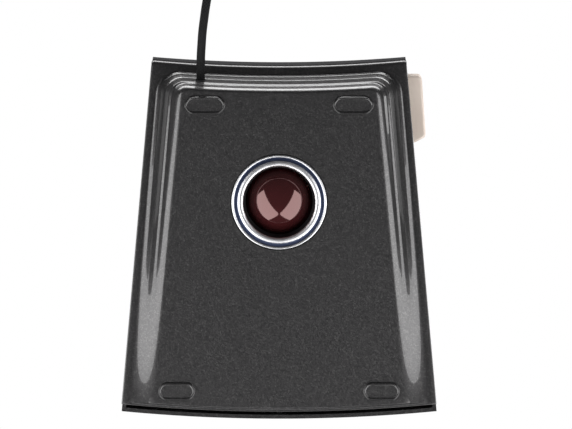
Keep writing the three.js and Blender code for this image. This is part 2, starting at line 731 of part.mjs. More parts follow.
// ---------------------------------------------------------------- cord, coil and plug
const CORD_ROUTE = [
  [25.15, 45.6, 8.2],
  [25.15, 48, 8.2],
  [25.15, 51, 8.2],
  [25.15, 54, 8],
  [25.1, 57, 7.4],
  [25, 60, 6.3],
  [24.8, 63, 5],
  [24.6, 66, 3.7],
  [24.3, 69, 2.6],
  [23.9, 72, 1.8],
  [23.5, 75, 1.42],
  [23, 78, 1.38],
  [22.5, 81, 1.38],
  [22.1, 84, 1.38],
  [21.8, 87, 1.38],
  [21.5, 90, 1.38],
  [21.4, 92.2, 1.38],
];
const COIL_CENTRE = [0.2, 104];
const COIL_INNER = 8.4;
const COIL_OUTER = 22.5;
const COIL_HEIGHT = 11.3;
const END_ROUTE = [
  [-5.2, 128.1, 9.1],
  [-8.2, 129, 8.3],
  [-11.4, 129.6, 7.3],
  [-14.6, 130, 6.4],
  [-18, 130.1, 5.8],
  [-21.2, 130.1, 5.6],
];

function cordTube(points) {
  const curve = new THREE.CatmullRomCurve3(points.map((place) => new THREE.Vector3(...place)));
  const section = new THREE.Shape();
  section.absarc(0, 0, CORD_RADIUS, 0, 2 * Math.PI);
  const options = { steps: points.length - 1, extrudePath: curve, curveSegments: 4 };
  return geometryOf(solid(new THREE.ExtrudeGeometry(section, options)));
}
add("cord", cordTube(CORD_ROUTE), CORD_BLACK);
const coilProfile = ringProfile(COIL_INNER, COIL_OUTER, 0.02, COIL_HEIGHT);
add("cord_coil", turned(coilProfile, ...COIL_CENTRE, 28), CORD_BLACK);
add("cord_end", cordTube(END_ROUTE), CORD_BLACK);

function coilTie() {
  const [x, y] = COIL_CENTRE;
  const wide = 3;
  const outside = boxOf(
    [x - COIL_OUTER - 1, y - wide, 0],
    [x - COIL_INNER + 1.9, y + wide, COIL_HEIGHT + 1],
  );
  const inside = boxOf(
    [x - COIL_OUTER - GAP, y - 9, -1],
    [x - COIL_INNER + 0.9, y + 9, COIL_HEIGHT + GAP],
  );
  return geometryOf(cut(solid(outside), inside));
}
add("coil_tie", coilTie(), BLACK);

function cordGrommet() {
  const z = CORD_EXIT[2];
  const barrel = rod([CORD_X, 44.2, z], [CORD_X, 51.4, z], 2.1);
  const flange = rod([CORD_X, 43.4, z], [CORD_X, 44.6, z], 3.1);
  const bore = rod([CORD_X, 40, z], [CORD_X, 60, z], CORD_RADIUS + GAP);
  return geometryOf(cut(unite(barrel, flange), bore));
}
add("cord_grommet", cordGrommet(), BLACK);
const INNER_ROUTE = [
  [25.15, 45.2, 8.2],
  [25, 42.5, 8.3],
  [24.6, 40, 8.6],
  [24, 37.6, 8.9],
  [23.6, 34.9, 9],
];
add("internal_lead", cordTube(INNER_ROUTE), CORD_BLACK);

// Plug pieces are made along -X from the end of the cord.
const PLUG = [-21.5, 130.1, 5.6];
const PLUG_SEGMENTS = 20;

function plugPiece(stations) {
  const profile = stations.map(([depth, radius]) => new THREE.Vector2(radius, depth));
  const start = new THREE.Vector2(0, stations[0][0]);
  const finish = new THREE.Vector2(0, stations.at(-1)[0]);
  const geometry = new THREE.LatheGeometry([start, ...profile, finish], PLUG_SEGMENTS);
  geometry.rotateZ(Math.PI / 2);
  geometry.translate(...PLUG);
  return geometry;
}
add("plug_boot", plugPiece([[0, 2.2], [9.7, 3.3]]), BLACK);
add("plug_body", plugPiece([[10, 4.2], [11, 5.2], [25, 5.5], [26, 5]]), BLACK);

function plugShell() {
  const [x, y, z] = PLUG;
  const tube = solid(plugPiece([[26.3, 4.6], [34, 4.6]]));
  return geometryOf(cut(tube, rod([x - 25, y, z], [x - 36, y, z], 4.1, PLUG_SEGMENTS)));
}
add("plug_shell", plugShell(), STEEL);

function plugInsert() {
  const [x, y, z] = PLUG;
  const pinCount = 6;
  const pinCircle = 2.4;
  let insert = solid(rod([x - 26.3, y, z], [x - 30, y, z], 3.8, 24));
  for (let k = 0; k < pinCount; k++) {
    const angle = (Math.PI / 180) * (20 + k * 45);
    const pinY = y + pinCircle * Math.cos(angle);
    const pinZ = z + pinCircle * Math.sin(angle);
    insert = insert.add(solid(rod([x - 29, pinY, pinZ], [x - 33.2, pinY, pinZ], 0.45, 8)));
  }
  return geometryOf(insert);
}
add("plug_insert", plugInsert(), BRASS);

export default mouse;
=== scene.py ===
import json
import math

import bmesh
import bpy
from mathutils import Matrix, Vector


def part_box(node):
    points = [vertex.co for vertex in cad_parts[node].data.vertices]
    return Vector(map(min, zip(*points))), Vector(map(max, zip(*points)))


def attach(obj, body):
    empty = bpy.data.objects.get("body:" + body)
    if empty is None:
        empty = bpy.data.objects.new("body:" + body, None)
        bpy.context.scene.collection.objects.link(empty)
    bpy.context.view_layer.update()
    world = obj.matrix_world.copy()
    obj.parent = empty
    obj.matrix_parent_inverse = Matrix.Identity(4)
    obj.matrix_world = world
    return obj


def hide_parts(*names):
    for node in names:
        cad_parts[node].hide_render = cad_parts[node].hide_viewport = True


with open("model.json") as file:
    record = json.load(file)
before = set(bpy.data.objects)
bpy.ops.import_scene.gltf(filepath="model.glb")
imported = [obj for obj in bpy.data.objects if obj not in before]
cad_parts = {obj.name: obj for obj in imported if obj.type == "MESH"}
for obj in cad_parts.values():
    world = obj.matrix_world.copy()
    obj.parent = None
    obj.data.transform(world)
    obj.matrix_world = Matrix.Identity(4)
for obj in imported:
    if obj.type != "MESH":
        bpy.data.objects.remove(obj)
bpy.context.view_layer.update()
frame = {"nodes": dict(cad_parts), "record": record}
nodes = frame["nodes"]

MM = 0.001
scene = bpy.context.scene

# ------------------------------------------------------------------ places from the frame
cover_low, cover_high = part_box("top_cover")
ring_low, ring_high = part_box("retaining_ring")
ball_low, ball_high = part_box("ball_skin")
BODY_FRONT = cover_high.y
HALF_REAR = cover_high.x + 0.3 * MM
HALF_FRONT = cover_high.x - 9.65 * MM
BODY_REAR = cover_low.y + 1.8 * MM
BALL = (ball_low + ball_high) / 2
BALL_RADIUS = (ball_high.x - ball_low.x) / 2
RING_RADIUS = (ring_high.x - ring_low.x) / 2
RING_CENTRE_Y = (ring_low.y + ring_high.y) / 2
PAN_Z = 0.8 * MM
FLANGE_REAR_Z = 1.0 * MM
FLANGE_FRONT_Z = 14.5 * MM
SHELL = 1.6 * MM
RIM_HEIGHT = 3 * MM
CORD_RADIUS = 1.375 * MM


# ------------------------------------------------------------------ camera
def make_camera():
    """Looks up at the underside, tipped a little towards the front, with the front at the top."""
    tilt = math.radians(7)
    distance = 2.4
    view_width = 183.04 * MM
    data = bpy.data.cameras.new("camera")
    data.sensor_width = 36
    data.lens = data.sensor_width * distance / view_width
    camera = bpy.data.objects.new("camera", data)
    target = Vector((-2.2 * MM, 8.96 * MM, 0))
    away = Vector((0, math.sin(tilt), -math.cos(tilt)))
    camera.location = target + away * distance
    right = Vector((-1, 0, 0))
    up = Vector((0, math.cos(tilt), math.sin(tilt)))
    camera.rotation_euler = Matrix((right, up, away)).transposed().to_euler()
    scene.collection.objects.link(camera)
    scene.camera = camera


make_camera()


# ------------------------------------------------------------------ material helpers
def new_material(name):
    made = bpy.data.materials.new(name)
    made.use_nodes = True
    tree = made.node_tree
    return made, tree, tree.nodes["Principled BSDF"]


def node(tree, kind, **values):
    made = tree.nodes.new(kind)
    for key, value in values.items():
        if key in made.inputs:
            made.inputs[key].default_value = value
        else:
            setattr(made, key, value)
    return made


def object_coordinates(tree):
    return node(tree, "ShaderNodeTexCoord").outputs["Object"]


def noise(tree, scale, detail):
    made = node(tree, "ShaderNodeTexNoise", Scale=scale, Detail=detail, Roughness=0.5)
    tree.links.new(object_coordinates(tree), made.inputs["Vector"])
    return made.outputs["Fac"]


def colour_ramp(tree, source, stops):
    made = tree.nodes.new("ShaderNodeValToRGB")
    for k, (position, colour) in enumerate(stops):
        if k >= 2:
            made.color_ramp.elements.new(position)
        element = made.color_ramp.elements[k]
        element.position = position
        element.color = (*colour, 1)
    tree.links.new(source, made.inputs["Fac"])
    return made.outputs["Color"]


def spread(tree, source, low, high):
    """A grey value's range, moved to low..high."""
    made = node(tree, "ShaderNodeMapRange")
    made.inputs["To Min"].default_value = low
    made.inputs["To Max"].default_value = high
    tree.links.new(source, made.inputs["Value"])
    return made.outputs["Result"]


def bump(tree, shader, height, strength, distance):
    made = node(tree, "ShaderNodeBump", Strength=strength, Distance=distance)
    tree.links.new(height, made.inputs["Height"])
    tree.links.new(made.outputs["Normal"], shader.inputs["Normal"])


def speckled_paint():
    """Dark grey metallic paint with fine flakes under a clear gloss coat."""
    made, tree, shader = new_material("speckled_paint")
    flakes = node(tree, "ShaderNodeTexVoronoi", Scale=2600)
    tree.links.new(object_coordinates(tree), flakes.inputs["Vector"])
    split = tree.nodes.new("ShaderNodeSeparateColor")
    tree.links.new(flakes.outputs["Color"], split.inputs["Color"])
    stops = [(0.0, (0.062, 0.061, 0.062)), (0.75, (0.08, 0.078, 0.079))]
    stops += [(0.93, (0.098, 0.096, 0.096)), (1.0, (0.112, 0.11, 0.109))]
    colour = colour_ramp(tree, split.outputs["Red"], stops)
    tree.links.new(colour, shader.inputs["Base Color"])
    tree.links.new(spread(tree, split.outputs["Green"], 0.31, 0.45), shader.inputs["Roughness"])
    shader.inputs["Metallic"].default_value = 0.85
    shader.inputs["Coat Weight"].default_value = 1
    shader.inputs["Coat Roughness"].default_value = 0.035
    shader.inputs["Coat IOR"].default_value = 1.5
    bump(tree, shader, noise(tree, 900, 3), 0.05, 0.00005)
    return made


def moulded(name, dark, light, low, high, grain=1800, strength=0.12):
    """Moulded plastic with a fine grain and slight unevenness in colour and gloss."""
    made, tree, shader = new_material(name)
    clouds = colour_ramp(tree, noise(tree, 60, 4), [(0.3, dark), (0.7, light)])
    tree.links.new(clouds, shader.inputs["Base Color"])
    tree.links.new(spread(tree, noise(tree, 240, 3), low, high), shader.inputs["Roughness"])
    bump(tree, shader, noise(tree, grain, 2), strength, 0.00008)
    return made


def metal(name, dark, light, low, high):
    """Bare metal: the moulded look with a finer, shallower grain, made metallic."""
    made = moulded(name, dark, light, low, high, 2200, 0.05)
    made.node_tree.nodes["Principled BSDF"].inputs["Metallic"].default_value = 1
    return made


def gloss_ball():
    """Dark maroon rubber under a mirror-like, slightly pink gloss."""
    made, tree, shader = new_material("gloss_ball")
    stops = [(0.3, (0.03, 0.0055, 0.006)), (0.7, (0.042, 0.008, 0.009))]
    clouds = colour_ramp(tree, noise(tree, 90, 5), stops)
    tree.links.new(clouds, shader.inputs["Base Color"])
    tree.links.new(spread(tree, noise(tree, 300, 3), 0.05, 0.09), shader.inputs["Roughness"])
    shader.inputs["IOR"].default_value = 2.0
    shader.inputs["Specular Tint"].default_value = (1, 0.64, 0.62, 1)
    bump(tree, shader, noise(tree, 400, 2), 0.02, 0.00003)
    return made


STRANDS_ROUND = 8
STRANDS_PER_METRE = 900


def braid():
    """A fine braided sleeve: two sets of strands that cross, laid out along the cord."""
    made, tree, shader = new_material("braid")
    uv = node(tree, "ShaderNodeUVMap", uv_map="along").outputs["UV"]
    split = tree.nodes.new("ShaderNodeSeparateXYZ")
    tree.links.new(uv, split.inputs["Vector"])
    strands = []
    for slant in (1, -1):
        slope = node(tree, "ShaderNodeMath", operation="MULTIPLY_ADD")
        slope.inputs[1].default_value = slant * STRANDS_PER_METRE
        tree.links.new(split.outputs["Y"], slope.inputs[0])
        turn = node(tree, "ShaderNodeMath", operation="MULTIPLY")
        turn.inputs[1].default_value = STRANDS_ROUND
        tree.links.new(split.outputs["X"], turn.inputs[0])
        tree.links.new(turn.outputs[0], slope.inputs[2])
        wave = node(tree, "ShaderNodeMath", operation="PINGPONG")
        wave.inputs[1].default_value = 0.5
        tree.links.new(slope.outputs[0], wave.inputs[0])
        strands.append(wave.outputs[0])
    weave = node(tree, "ShaderNodeMath", operation="MAXIMUM")
    for k, strand in enumerate(strands):
        tree.links.new(strand, weave.inputs[k])
    stops = [(0.25, (0.0006, 0.0006, 0.0007)), (0.5, (0.018, 0.018, 0.019))]
    tree.links.new(colour_ramp(tree, weave.outputs[0], stops), shader.inputs["Base Color"])
    tree.links.new(spread(tree, noise(tree, 3000, 2), 0.65, 0.85), shader.inputs["Roughness"])
    shader.inputs["Specular IOR Level"].default_value = 0.2
    bump(tree, shader, weave.outputs[0], 0.8, 0.0004)
    return made


GROOVE_INNER = 13.3 * MM
GROOVE_OUTER = 14.45 * MM
TURNING_MARKS = 60000


def polished_metal():
    """Plated ring: bright rims and a dark blue groove between them, with fine turning marks."""
    made, tree, shader = new_material("polished_metal")
    place = node(tree, "ShaderNodeVectorMath", operation="SUBTRACT")
    tree.links.new(object_coordinates(tree), place.inputs[0])
    place.inputs[1].default_value = (0, RING_CENTRE_Y, 0)
    flat = node(tree, "ShaderNodeVectorMath", operation="MULTIPLY")
    flat.inputs[1].default_value = (1, 1, 0)
    tree.links.new(place.outputs[0], flat.inputs[0])
    length = node(tree, "ShaderNodeVectorMath", operation="LENGTH")
    tree.links.new(flat.outputs[0], length.inputs[0])
    radius = node(tree, "ShaderNodeMapRange")
    radius.inputs["From Min"].default_value = GROOVE_INNER - 0.1 * MM
    radius.inputs["From Max"].default_value = GROOVE_OUTER + 0.1 * MM
    tree.links.new(length.outputs["Value"], radius.inputs["Value"])
    bright = (0.95, 0.95, 0.97)
    navy = (0.065, 0.082, 0.145)
    stops = [(0.0, bright), (0.12, navy), (0.88, navy), (1.0, bright)]
    tree.links.new(colour_ramp(tree, radius.outputs["Result"], stops), shader.inputs["Base Color"])
    tree.links.new(spread(tree, noise(tree, 500, 3), 0.32, 0.42), shader.inputs["Roughness"])
    shader.inputs["Metallic"].default_value = 1
    turning = node(tree, "ShaderNodeMath", operation="SINE")
    wave = node(tree, "ShaderNodeMath", operation="MULTIPLY")
    wave.inputs[1].default_value = TURNING_MARKS
    tree.links.new(length.outputs["Value"], wave.inputs[0])
    tree.links.new(wave.outputs[0], turning.inputs[0])
    bump(tree, shader, turning.outputs[0], 0.04, 0.00002)
    return made


# Plastics and metals: dark and light colour, then lowest and highest roughness.
LOOKS = {
    "shell_grey": speckled_paint(),
    "cream_plastic": moulded("cream_plastic", (0.72, 0.61, 0.53), (0.79, 0.69, 0.61), 0.34, 0.46),
    "polished_ring": polished_metal(),
    "black_plastic": moulded("black_plastic", (0.008, 0.008, 0.009), (0.014, 0.014, 0.015), 0.4, 0.6),
    "ball_maroon": gloss_ball(),
    "steel": metal("steel", (0.36, 0.37, 0.39), (0.46, 0.47, 0.49), 0.22, 0.36),
    "white_plastic": moulded("white_plastic", (0.72, 0.7, 0.64), (0.8, 0.79, 0.73), 0.4, 0.55),
    "board_green": moulded("board_green", (0.008, 0.07, 0.025), (0.014, 0.12, 0.045), 0.25, 0.4),
    "lamp_clear": moulded("lamp_clear", (0.62, 0.5, 0.45), (0.72, 0.6, 0.55), 0.08, 0.16),
    "lamp_dark": moulded("lamp_dark", (0.02, 0.01, 0.016), (0.03, 0.016, 0.022), 0.12, 0.25),
    "brass": metal("brass", (0.5, 0.34, 0.1), (0.6, 0.42, 0.14), 0.2, 0.34),
    "braid_black": braid(),
    "tie_black": moulded(
        "tie_black", (0.008, 0.008, 0.008), (0.018, 0.018, 0.018), 0.7, 0.85, grain=2600, strength=0.5
    ),
}


def paint_cad_nodes():
    slots = {part["node"]: part["material_slot"] for part in frame["record"]["subparts"]}
    for name, piece in nodes.items():
        piece.data.materials.clear()
        piece.data.materials.append(LOOKS[slots[name]])


paint_cad_nodes()


# ------------------------------------------------------------------ mesh helpers
SHARP_ANGLE = 32


def publish(name, mesh, body, slot, replaced=()):
    """Makes a piece of the object from a bmesh: its look, its body and the nodes it stands for."""
    data = bpy.data.meshes.new(name)
    bmesh.ops.recalc_face_normals(mesh, faces=mesh.faces)
    mesh.to_mesh(data)
    mesh.free()
    for face in data.polygons:
        face.use_smooth = True
    data.set_sharp_from_angle(angle=math.radians(SHARP_ANGLE))
    piece = bpy.data.objects.new(name, data)
    scene.collection.objects.link(piece)
    data.materials.append(LOOKS[slot])
    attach(piece, body)
    if replaced:
        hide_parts(*replaced)
    return piece


def bake_modifiers(piece):
    """Replaces the piece's mesh by its evaluated one, so that no modifier is left."""
    graph = bpy.context.evaluated_depsgraph_get()
    baked = bpy.data.meshes.new_from_object(piece.evaluated_get(graph))
    piece.modifiers.clear()
    piece.data = baked


def subtract(piece, tool):
    """Cuts a bmesh out of a piece."""
    data = bpy.data.meshes.new("tool")
    bmesh.ops.recalc_face_normals(tool, faces=tool.faces)
    tool.to_mesh(data)
    tool.free()
    cutter = bpy.data.objects.new("tool", data)
    scene.collection.objects.link(cutter)
    cutting = piece.modifiers.new("cut", "BOOLEAN")
    cutting.operation = "DIFFERENCE"
    cutting.solver = "EXACT"
    cutting.object = cutter
    bake_modifiers(piece)
    bpy.data.objects.remove(cutter)


def round_edges(piece, width, segments, angle):
    """Rounds every edge of a piece that is sharper than an angle in degrees."""
    rounding = piece.modifiers.new("round", "BEVEL")
    rounding.width = width
    rounding.segments = segments
    rounding.limit_method = "ANGLE"
    rounding.angle_limit = math.radians(angle)
    rounding.harden_normals = True
    bake_modifiers(piece)


def bridge(mesh, first, second):
    """Joins two closed rings of vertices by a band of faces."""
    count = len(first)
    for k in range(count):
        corners = (first[k], first[(k + 1) % count], second[(k + 1) % count], second[k])
        mesh.faces.new(corners)


def lathe(profile, centre, axis, sides):
    """A closed (radius, height) profile turned about Z, or about -X, through centre."""
    mesh = bmesh.new()
    rings = []
    for k in range(sides):
        angle = 2 * math.pi * k / sides
        ring = []
        for radius, height in profile:
            across = (radius * math.cos(angle), radius * math.sin(angle))
            if axis == "Z":
                offset = (across[0], across[1], height)
            else:
                offset = (-height, across[0], across[1])
            ring.append(mesh.verts.new(Vector(centre) + Vector(offset)))
        rings.append(ring)
    for k in range(sides):
        bridge(mesh, rings[k], rings[(k + 1) % sides])
    bmesh.ops.remove_doubles(mesh, verts=mesh.verts, dist=1e-7)
    return mesh


def prism(outline, low, high):
    """An upright prism over a plan outline."""
    mesh = bmesh.new()
    below = [mesh.verts.new((x, y, low)) for x, y in outline]
    above = [mesh.verts.new((x, y, high)) for x, y in outline]
    bridge(mesh, below, above)
    mesh.faces.new(reversed(below))
    mesh.faces.new(above)
    return mesh


def rounded_box(low_x, high_x, low_y, high_y, radius):
    """A rectangle with rounded corners, as a list of points."""
    steps = 6
    outline = []
    corners = [
        (high_x - radius, high_y - radius, 0),
        (low_x + radius, high_y - radius, 90),
        (low_x + radius, low_y + radius, 180),
        (high_x - radius, low_y + radius, 270),
    ]
    for x, y, start in corners:
        for k in range(steps + 1):
            angle = math.radians(start + 90 * k / steps)
            outline.append((x + radius * math.cos(angle), y + radius * math.sin(angle)))
    return outline


# ------------------------------------------------------------------ body outline
def lerp(first, second, share):
    return first + (second - first) * share


def smooth(low, high, value):
    """Rises from 0 at low to 1 at high, flat at both ends."""
    share = min(max((value - low) / (high - low), 0), 1)
    return share * share * (3 - 2 * share)


def rearness(y):
    """0 at the front of the body and 1 at its rear."""
    return (BODY_FRONT - y) / (BODY_FRONT - BODY_REAR)


def half_width(y):
    return lerp(HALF_FRONT, HALF_REAR, rearness(y))


def flange_z(y):
    return lerp(FLANGE_FRONT_Z, FLANGE_REAR_Z, rearness(y))


FRONT_BOW = 1.9 * MM
REAR_BOW = 2.4 * MM


def front_y(x):
    return BODY_FRONT - FRONT_BOW * (1 - (x / HALF_FRONT) ** 2)


def rear_y(x):
    return BODY_REAR - REAR_BOW * (1 - (x / HALF_REAR) ** 2)


# ------------------------------------------------------------------ lower tray
# How far the pan's wall lies inside the body's outline, at its top and at its foot.
PAN_SIDE = (1.9 * MM, 10.5 * MM)
PAN_FRONT = (2.6 * MM, 7.25 * MM)
PAN_REAR = (3.2 * MM, 4.1 * MM)
PAN_CORNER = (7.5 * MM, 2.7 * MM)
FLAT_MARGIN = 0.35 * MM
TRAY_SIDE = -0.25 * MM
TRAY_FRONT = 0.1 * MM
TRAY_REAR = 2.6 * MM
TRAY_CORNER = 0.9 * MM
BORE_RADIUS = RING_RADIUS + 0.25 * MM
SIDE_POINTS = 44
CORNER_POINTS = 14
FRONT_POINTS = 24
REAR_POINTS = 30

# How far the wall has come down at each share of its width: chamfer, wall, ledge, wall, shoulder.
WALL_PROFILE = (
    (0.0, 0.0),
    (0.02, 0.0),
    (0.08, 0.02),
    (0.19, 0.085),
    (0.33, 0.288),
    (0.37, 0.32),
    (0.51, 0.642),
    (0.62, 0.697),
    (0.74, 0.877),
    (0.79, 0.917),
    (0.84, 0.949),
    (0.89, 0.973),
    (0.94, 0.989),
    (1.0, 1.0),
)
PROFILE_BLUR = 0.016
BLUR_SAMPLES = 9
RAMP_END = 0.99
STEPS_FADE = (0.28, 0.75)
EDGE_RADIUS = 1.2 * MM
EDGE_SIDE_SHARE = 0.3
EDGE_STEPS = 8
OUTER_STEPS = 96
INNER_STEPS = 16


def stepped(share):
    """The wall profile with its corners rounded by averaging over a short width."""
    total = 0
    for k in range(BLUR_SAMPLES):
        offset = PROFILE_BLUR * (2 * k / (BLUR_SAMPLES - 1) - 1)
        place = min(max(share + offset, 0), 1)
        for (left, low), (right, high) in zip(WALL_PROFILE, WALL_PROFILE[1:]):
            if place <= right:
                total += lerp(low, high, (place - left) / (right - left))
                break
    return total / BLUR_SAMPLES


def wall_drop(steps, share, y):
    """How far the wall has come down: stepped at the front, one smooth ramp at the rear."""
    ramp = smooth(0.0, RAMP_END, share)
    return lerp(steps, ramp, smooth(*STEPS_FADE, rearness(y)))


def plan_line(side, front, rear, corner):
    """A closed plan line: up the right side, over the front, down the left side, along the rear."""
    corner_side = half_width(BODY_FRONT - front - corner) - side
    corner_y = front_y(corner_side - corner) - front - corner
    right = []
    for k in range(SIDE_POINTS + 1):
        start = rear_y(half_width(BODY_REAR) - side) + rear
        y = lerp(start, corner_y, k / SIDE_POINTS)
        right.append((half_width(y) - side, y))
    reach = corner_side - corner
    for k in range(1, CORNER_POINTS + 1):
        angle = math.pi / 2 * k / CORNER_POINTS
        right.append((reach + corner * math.cos(angle), corner_y + corner * math.sin(angle)))
    for k in range(1, FRONT_POINTS):
        x = reach * (1 - k / FRONT_POINTS)
        right.append((x, front_y(x) - front))
    left = [(-x, y) for x, y in reversed(right)]
    rear_half = right[0][0]
    back = []
    for k in range(1, REAR_POINTS):
        x = rear_half * (2 * k / REAR_POINTS - 1)
        back.append((x, rear_y(x) + rear))
    return right + [(0, front_y(0) - front)] + left + back


def pan_line(share, shrink):
    """The plan line of the pan's wall at a share of its width."""
    side = lerp(*PAN_SIDE, share) + shrink
    front = lerp(*PAN_FRONT, share) + shrink
    rear = lerp(*PAN_REAR, share) + shrink
    return plan_line(side, front, rear, lerp(*PAN_CORNER, share))


def rim_loops(shrink):
    """The level lines of the tray's rim, down round its edge."""
    profile = [(0, RIM_HEIGHT - shrink)]
    for k in range(EDGE_STEPS + 1):
        angle = math.pi / 2 * k / EDGE_STEPS
        profile.append((EDGE_RADIUS * (1 - math.cos(angle)), EDGE_RADIUS * (1 - math.sin(angle))))
    loops = []
    for inset, height in profile:
        side = TRAY_SIDE + shrink + inset * EDGE_SIDE_SHARE
        rear = TRAY_REAR + shrink + inset * EDGE_SIDE_SHARE
        line = plan_line(side, TRAY_FRONT + shrink + inset, rear, TRAY_CORNER)
        loops.append([(x, y, flange_z(y) + height + shrink) for x, y in line])
    return loops


def tray_loops(shrink):
    """The tray's level lines from the rim down to the flat face, as lists of points.

    The inside of the shell is the same, shrunk by its thickness and lifted as much.
    """
    loops = rim_loops(shrink)
    step_count = OUTER_STEPS if shrink == 0 else INNER_STEPS
    for k in range(step_count + 1):
        share = k / step_count
        steps = stepped(share)
        loop = []
        for x, y in pan_line(share, shrink):
            drop = wall_drop(steps, share, y)
            loop.append((x, y, lerp(flange_z(y), PAN_Z, drop) + shrink))
        loops.append(loop)
    flat = pan_line(1.0, shrink + FLAT_MARGIN)
    loops.append([(x, y, PAN_Z + shrink) for x, y in flat])
    return loops


def circle(mesh, radius, height):
    """A ring of vertices round the ball's axis."""
    sides = 128
    ring = []
    for k in range(sides):
        angle = 2 * math.pi * k / sides
        place = (BALL.x + radius * math.cos(angle), BALL.y + radius * math.sin(angle), height)
        ring.append(mesh.verts.new(place))
    return ring


def fill_with_hole(mesh, outside, hole):
    """Fills the flat face between an outer ring and a hole."""
    edges = []
    for ring in (outside, hole):
        for k, vertex in enumerate(ring):
            other = ring[(k + 1) % len(ring)]
            edges.append(mesh.edges.get((vertex, other)) or mesh.edges.new((vertex, other)))
    bmesh.ops.triangle_fill(mesh, edges=edges, use_beauty=True, use_dissolve=False)


def cord_hole():
    """A round bar along Y through the front wall, where the grommet sits."""
    radius = 1.6 * MM
    depth = 16 * MM
    grommet_low, grommet_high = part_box("cord_grommet")
    centre = (grommet_low + grommet_high) / 2 + Vector((0, 2 * MM, 0))
    bar = bmesh.new()
    bmesh.ops.create_cone(bar, cap_ends=True, segments=40, radius1=radius, radius2=radius, depth=depth)
    bmesh.ops.rotate(bar, verts=bar.verts, matrix=Matrix.Rotation(math.pi / 2, 3, "X"))
    bmesh.ops.translate(bar, verts=bar.verts, vec=centre)
    return bar


def make_tray():
    """The lower shell: two skins from the rim to the ball's bore, joined at both."""
    mesh = bmesh.new()
    surfaces = []
    for shrink in (0, SHELL):
        loops = [[mesh.verts.new(place) for place in loop] for loop in tray_loops(shrink)]
        for first, second in zip(loops, loops[1:]):
            bridge(mesh, first, second)
        hole = circle(mesh, BORE_RADIUS, PAN_Z + shrink)
        fill_with_hole(mesh, loops[-1], hole)
        surfaces.append((loops[0], hole))
    (outer_rim, outer_hole), (inner_rim, inner_hole) = surfaces
    bridge(mesh, outer_rim, inner_rim)
    bridge(mesh, outer_hole, inner_hole)
    tray = publish("tray_shell", mesh, "root", "shell_grey", ("lower_tray",))
    subtract(tray, cord_hole())


# Each row of pads: x and y, half length at the bead, and its ends' slant as a share of the width.
FOOT_ROWS = {
    "front": (23.75 * MM, 44.1 * MM, 6.55 * MM, 0.72),
    "rear": (32.9 * MM, -48.3 * MM, 5.85 * MM, 0.6),
}
FOOT_HALF_WIDTH = 2.5 * MM
FOOT_ROUNDING = 0.42
FOOT_CORNER_STEPS = 6
# Each level line of a pad: how far it lies outside the crest of the bead, and its height.
FOOT_PROFILE = (
    (0.6, 0.95),
    (0.5, 0.8),
    (0.1, 0.12),
    (0.0, 0.0),
    (-0.1, 0.0),
    (-0.2, 0.1),
    (-0.38, 0.36),
    (-0.5, 0.42),
    (-0.65, 0.42),
)


def make_feet():
    """Four moulded pads: a long hexagon with a raised bead round a flat middle."""
    for row, (x, y, half_length, slant) in FOOT_ROWS.items():
        for side in (-1, 1):
            mesh = bmesh.new()
            loops = []
            for grow, height in FOOT_PROFILE:
                loop = []
                for across, along in hexagon(grow * MM, half_length, slant):
                    place = (side * x + across, y + along, height * MM)
                    loop.append(mesh.verts.new(place))
                loops.append(loop)
            for first, second in zip(loops, loops[1:]):
                bridge(mesh, first, second)
            mesh.faces.new(loops[0])
            mesh.faces.new(reversed(loops[-1]))
            name = row + "_foot_" + ("left" if side < 0 else "right")
            publish(name, mesh, "root", "shell_grey")


def hexagon(grow, half_length, slant_share):
    """A long hexagon with well rounded corners, grown outwards by grow."""
    length = half_length + grow
    width = FOOT_HALF_WIDTH + grow
    slant = width * slant_share
    rounding = FOOT_ROUNDING * math.hypot(slant, width)
    corners = [
        (length, 0),
        (length - slant, width),
        (slant - length, width),
        (-length, 0),
        (slant - length, -width),
        (length - slant, -width),
    ]
    outline = []
    for k, place in enumerate(corners):
        here = Vector(place)
        before = (Vector(corners[k - 1]) - here).normalized()
        after = (Vector(corners[(k + 1) % 6]) - here).normalized()
        start = here + before * rounding
        end = here + after * rounding
        for step in range(FOOT_CORNER_STEPS + 1):
            t = step / FOOT_CORNER_STEPS
            spot = start * (1 - t) ** 2 + here * 2 * t * (1 - t) + end * t * t
            outline.append((spot.x, spot.y))
    return outline


make_tray()
make_feet()


# ------------------------------------------------------------------ top cover and keys
COVER_WALL = 1.25 * MM
KEY_HALF = 34 * MM
KEY_REAR = 13.5 * MM
KEY_FRONT = 51 * MM
KEY_GAP = 0.5 * MM
KEY_CORNER = 1.2 * MM
KEY_SKIRT = 2.2 * MM
KEY_DISH = 0.35 * MM
KEY_COLUMNS = 36
KEY_ROWS = 40
COVER_GAP = 0.3 * MM
ROOF_PEAK_Y = 18 * MM
ROOF_HEIGHT = 33.2 * MM
ROOF_CROWN = 2.2 * MM
FRONT_FALL = 2.1
REAR_FALL = 3.1
# The wall's share of the height up to the roof grows towards the front.
WALL_SHARE = (0.35, 0.75)
WALL_SHARE_GROWS = (30 * MM, 52 * MM)
SIDE_ROUND = 11 * MM
FRONT_ROUND = 7 * MM
REAR_ROUND = 16 * MM
THUMB_LOW, THUMB_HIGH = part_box("thumb_button")


def parting_z(y):
    return flange_z(y) + RIM_HEIGHT


def quarter_round(distance, radius):
    """Rises from 0 at an edge to 1 at a radius inside it, like a quarter circle."""
    inside = min(max(1 - distance / radius, 0), 1)
    return math.sqrt(1 - inside * inside)


